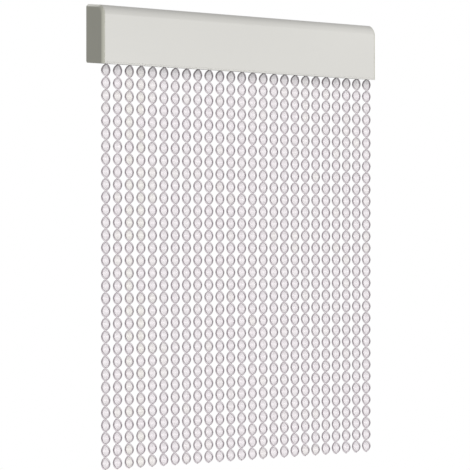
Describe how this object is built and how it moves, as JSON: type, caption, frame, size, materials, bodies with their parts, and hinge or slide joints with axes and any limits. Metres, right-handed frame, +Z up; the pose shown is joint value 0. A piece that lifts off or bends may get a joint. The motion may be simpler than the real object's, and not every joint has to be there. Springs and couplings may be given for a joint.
{
  "type": "spiral cord door curtain with header rail",
  "caption": "Door curtain of clear spirally twisted ribbon cords hanging side by side from a lacquered box-section header rail with end caps, fixed flat to a wall.",
  "frame": {"origin": "centre of the header's back face, where it lies against the wall above the doorway", "axes": "+X along the header to the right as seen from the front, +Y into the wall, +Z up; the front faces -Y"},
  "size_m": [0.896, 0.092, 1.2459],
  "materials": {
    "header_lacquer": "satin white lacquer on an extruded aluminium profile",
    "cap_plastic": "fine moulded satin plastic",
    "clear_vinyl": "clear glossy soft vinyl with a faint lilac tint"
  },
  "bodies": {
    "root": {"header": "header_lacquer", "end_cap_left": "cap_plastic", "end_cap_right": "cap_plastic", "cords_left": "clear_vinyl", "cords_right": "clear_vinyl"}
  },
  "joints": []
}
